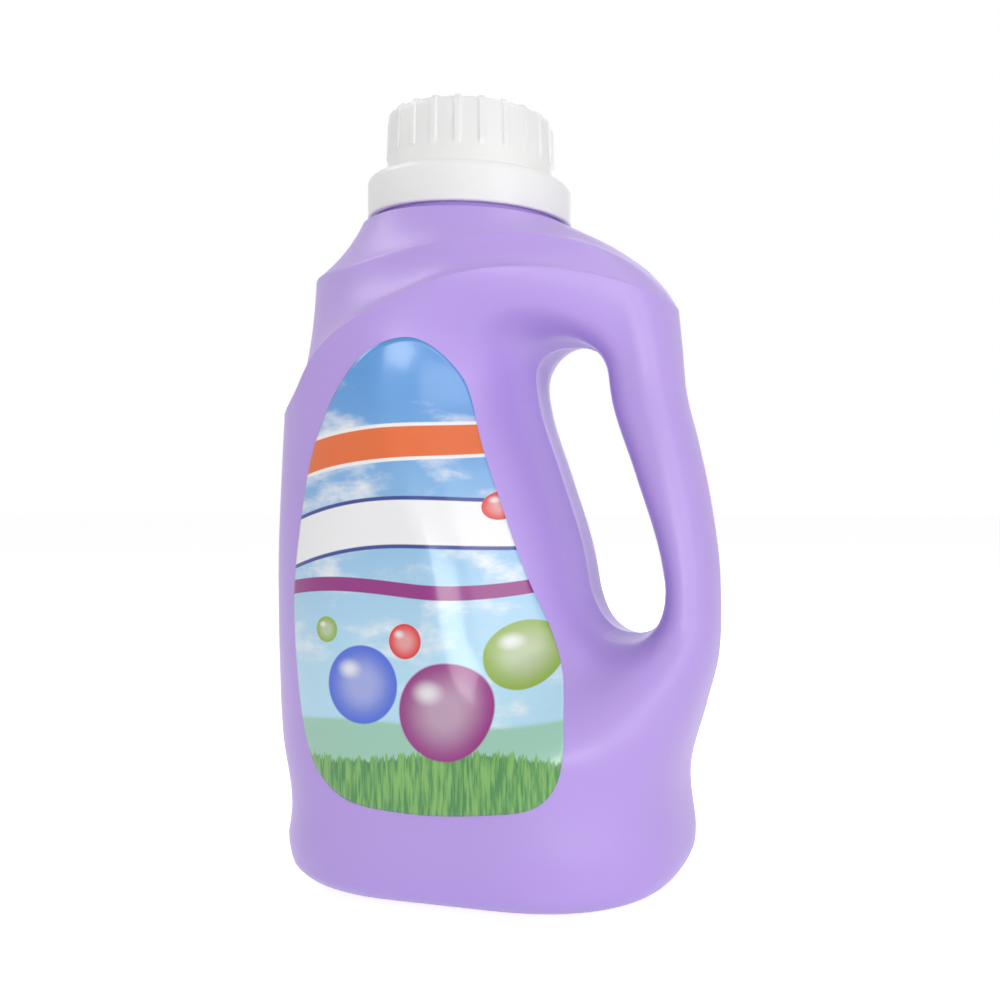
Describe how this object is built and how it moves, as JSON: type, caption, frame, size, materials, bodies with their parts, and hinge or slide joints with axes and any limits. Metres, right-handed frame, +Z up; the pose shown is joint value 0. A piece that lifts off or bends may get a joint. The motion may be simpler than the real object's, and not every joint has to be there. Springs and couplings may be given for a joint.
{
  "type": "laundry detergent bottle",
  "caption": "Blow-moulded jug with a hollow side handle, a stepped shoulder, a drain-back pour spout and a ribbed measuring cap.",
  "frame": {"origin": "middle of the overall width and depth, on the standing plane", "axes": "+Z up, +X towards the handle, -Y towards the label"},
  "size_m": [0.1482, 0.0976, 0.2542],
  "materials": {
    "bottle_plastic": "satin lavender polyethylene",
    "closure_plastic": "white polypropylene",
    "cap_plastic": "white polypropylene",
    "label_film": "printed film"
  },
  "bodies": {
    "body": {"bottle": "bottle_plastic", "pour_spout": "closure_plastic", "front_label": "label_film"},
    "cap": {"cap": "cap_plastic"}
  },
  "joints": [
    {"name": "cap_lift", "type": "slide", "parent": "body", "child": "cap", "axis": [0, 0, 1], "range_m": [0, 0.05]}
  ]
}
